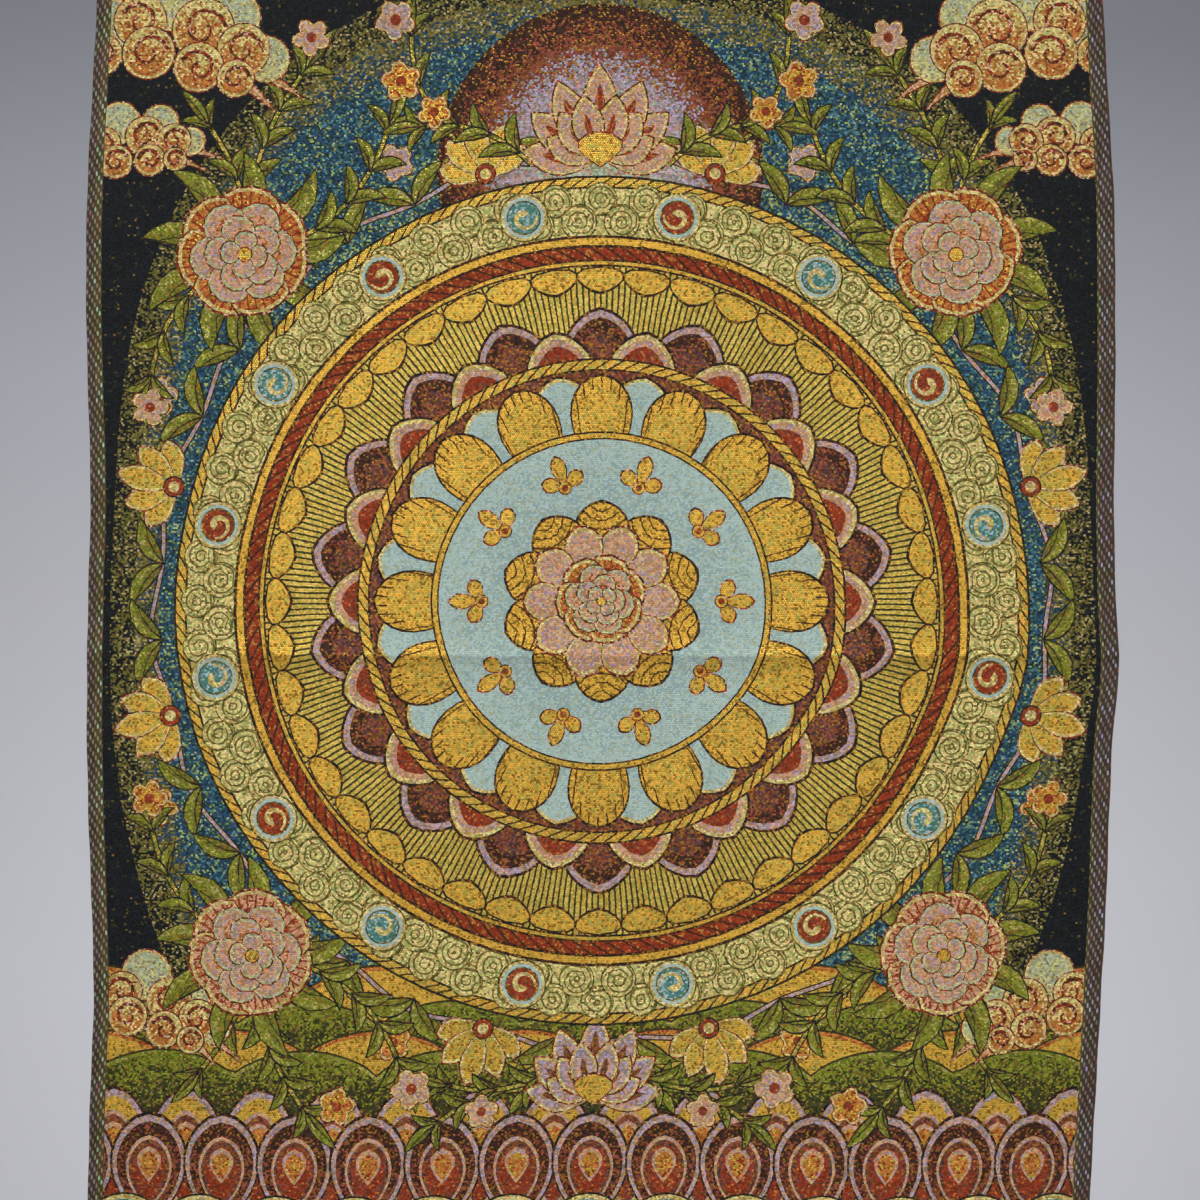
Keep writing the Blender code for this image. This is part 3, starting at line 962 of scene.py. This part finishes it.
panel_mesh.uv_layers.new(name="cloth").data.foreach_set("uv", np.column_stack(
    [(flat_corners.real + WIDE / 2) / 1000, (flat_corners.imag + TALL / 2) / 1000]).ravel())
FACE, REVERSE, SELVEDGE = 0, 1, 2
selvedge_figures = [number for number, figure in enumerate(figures) if figure.weave.flecks < 0]
material_of = np.zeros(len(faces), int)
back_middles = np.abs(back[back_faces].mean(axis=1).imag)
material_of[len(front_faces):len(front_faces) + len(back_faces)] = np.where(
    back_middles < TALL / 2 - HEM_DEPTH, REVERSE, FACE)
material_of[np.isin(figure_of, selvedge_figures)] = SELVEDGE
panel_mesh.polygons.foreach_set("material_index", material_of)
panel_mesh.shade_smooth()
panel_mesh.set_sharp_from_angle(angle=math.radians(40))
panel = bpy.data.objects.new("brocade_panel", panel_mesh)
bpy.context.scene.collection.objects.link(panel)


# Brocade, the face: short floats of coloured rayon weft and gilt thread over a black warp. A real
# float is about 0.4 mm wide, too fine to show, so a stitch is drawn 1.3 by 1.1 mm. Each row starts
# half a stitch further along than the one below it.
STITCH_WIDE, STITCH_TALL = 1.3, 1.1


def stitches(tree, wide, tall, step, upright=False, sharp=1.0):
    """How high a point stands on its stitch, from 0 to 1, and three random numbers for that stitch,
    first together and then one by one.
    Each row is shifted by a step, as in a twill; or each column, where the stitches stand upright.
    A sharp one stands only near the middle of its length."""
    place = add(tree, "SeparateXYZ", None, add(tree, "UVMap", {"uv_map": "cloth"}))
    along, across = ("Y", "X") if upright else ("X", "Y")
    rows = math_node(tree, "MULTIPLY", place.outputs[across], 1000 / (wide if upright else tall))
    row = math_node(tree, "FLOOR", rows)
    shift = math_node(tree, "MULTIPLY", row, step)
    columns = math_node(tree, "MULTIPLY_ADD", place.outputs[along], 1000 / (tall if upright else wide), shift)
    column = math_node(tree, "FLOOR", columns)
    arches = []
    for whole, part in ((rows, row), (columns, column)):
        inside = math_node(tree, "SUBTRACT", whole, part)
        arches.append(math_node(tree, "MULTIPLY", inside, math_node(tree, "SUBTRACT", 1.0, inside)))
    arches = [math_node(tree, "MULTIPLY", arch, 4.0) for arch in arches]
    arch = math_node(tree, "MULTIPLY", arches[0], math_node(tree, "POWER", arches[1], sharp))
    cell = add(tree, "CombineXYZ", None, column, row, 0.0)
    noise = add(tree, "TexWhiteNoise", {"noise_dimensions": "3D"}, cell).outputs["Color"]
    return arch, noise, add(tree, "SeparateColor", None, noise).outputs


def yarn_colour(tree, number):
    """The colour of a yarn by its number."""
    place = math_node(tree, "MULTIPLY_ADD", number, 1 / len(YARNS), 0.5 / len(YARNS))
    ramp = add(tree, "ValToRGB", None, place)
    ramp.color_ramp.interpolation = "CONSTANT"
    fill_ramp(ramp.color_ramp, [(i / len(YARNS), yarn.colour) for i, yarn in enumerate(YARNS)])
    return ramp


def choose(tree, chance, test, when_not, when):
    """One of two numbers, the second where the chance passes the test."""
    return add(tree, "Mix", {"data_type": "FLOAT"}, math_node(tree, test[0], chance, test[1]), when_not, when)


def finish_cloth(tree, number, arch, noise, grain, light, spread):
    """The surface: silky rayon, and metal where the yarn is a gilt one, each stitch a little different."""
    sway = add(tree, "VectorMath", {"operation": "SUBTRACT"}, noise, (0.5, 0.5, 0.5))
    sway = add(tree, "VectorMath", {"operation": "SCALE"}, sway, scale=grain)
    tint = add(tree, "VectorMath", {"operation": "MULTIPLY_ADD"}, sway, (0.34, 0.28, 0.50), (1.0, 1.0, 1.0))
    tinted = add(tree, "VectorMath", {"operation": "MULTIPLY"}, yarn_colour(tree, number), tint)
    light = math_node(tree, "MULTIPLY_ADD", add(tree, "SeparateXYZ", None, sway).outputs["Z"], spread, light)
    # painted shade and highlight: each stitch's colour is darker at its edges, where it dips, and lighter on
    # its crown
    light = math_node(tree, "MULTIPLY", light, add(tree, "MapRange", None, arch, 0.0, 1.0, 0.78, 1.12))
    colour = add(tree, "VectorMath", {"operation": "SCALE"}, tinted, scale=light)
    gilt = math_node(tree, "LESS_THAN", number, GILT_YARNS - 0.5)
    metallic = math_node(tree, "MULTIPLY", gilt, 0.45)
    roughness = add(tree, "MapRange", None, gilt, 0.0, 1.0, 0.62, 0.42)
    bump = add(tree, "Bump", None, strength=0.55, distance=0.00025, height=arch)
    shader = add(tree, "BsdfPrincipled", None, base_color=colour, metallic=metallic, roughness=roughness,
                 normal=bump, specular_ior_level=0.12, sheen_weight=0.02, sheen_roughness=0.5)
    add(tree, "OutputMaterial", None, shader)


def attribute(tree, name):
    """The four numbers of an attribute."""
    found = add(tree, "Attribute", {"attribute_name": name})
    return *add(tree, "SeparateXYZ", None, found.outputs["Vector"]).outputs, found.outputs["Alpha"]


face, tree = new_material("woven brocade face")
arch, noise, chance = stitches(tree, STITCH_WIDE, STITCH_TALL, 0.5)
first, second, third, grain = attribute(tree, "yarns")
share, rule, flecks, line = attribute(tree, "weave")
# the mix of the two yarns is uneven from place to place, a few millimetres apart
cloth_place = add(tree, "UVMap", {"uv_map": "cloth"})
blotches = add(tree, "TexNoise", {"noise_dimensions": "2D"}, cloth_place, scale=150.0, detail=1.0)
share = math_node(tree, "ADD", share, math_node(tree, "MULTIPLY_ADD", blotches, 0.8, -0.4))
number = choose(tree, chance["Red"], ("LESS_THAN", share), first, second)
fleck = math_node(tree, "LESS_THAN", chance["Green"], flecks)
from_line = math_node(tree, "FRACT", math_node(tree, "MULTIPLY_ADD", chance["Green"], 0.12, rule))
from_line = math_node(tree, "ABSOLUTE", math_node(tree, "SUBTRACT", from_line, 0.5))
on_line = math_node(tree, "LESS_THAN", from_line, math_node(tree, "MULTIPLY", line, 0.5))
number = add(tree, "Mix", {"data_type": "FLOAT"}, math_node(tree, "MAXIMUM", fleck, on_line), number, third)
finish_cloth(tree, number, arch, noise, grain, 0.97, 0.80)

# Brocade, the reverse: the wefts that don't show in front float across the back in long streaks,
# so the design is faint there, in dull mixed colours. The streaks are drawn 6 by 1 mm.
STREAK_LONG, STREAK_TALL, STREAK_SHIFT = 6.0, 1.0, 0.38  # the shift is a share of its length
reverse, tree = new_material("woven brocade reverse")
arch, noise, chance = stitches(tree, STREAK_LONG, STREAK_TALL, STREAK_SHIFT)
second = attribute(tree, "yarns")[1]
number = math_node(tree, "ROUND", math_node(tree, "MULTIPLY", chance["Green"], len(YARNS) - 1.0))
number = choose(tree, chance["Red"], ("LESS_THAN", 0.46), number, second)
number = choose(tree, chance["Red"], ("GREATER_THAN", 0.62), number, float(YARN_NUMBER["ink"]))
finish_cloth(tree, number, arch, noise, 1.0, 0.70, 0.50)

# Selvedge: a firm steep twill, its weft turns standing as rows of dots over darker warp ends. The
# dots are at their real size: columns 1.45 mm apart, a dot every 7 mm, each column 2.5 mm higher.
DOT_COLUMN, DOT_PITCH, DOT_CLIMB = 1.45, 7.0, 2.52
selvedge, tree = new_material("woven selvedge")
arch, noise, chance = stitches(tree, DOT_COLUMN, DOT_PITCH, DOT_CLIMB / DOT_PITCH, upright=True, sharp=5.0)
first, second, third, grain = attribute(tree, "yarns")
share = attribute(tree, "weave")[0]
number = choose(tree, chance["Red"], ("LESS_THAN", share), first, second)
number = choose(tree, arch, ("LESS_THAN", 0.42), number, third)
finish_cloth(tree, number, arch, noise, grain, 0.95, 0.35)

for material in (face, reverse, selvedge):
    panel_mesh.materials.append(material)

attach(panel, "root")
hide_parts("woven_panel")
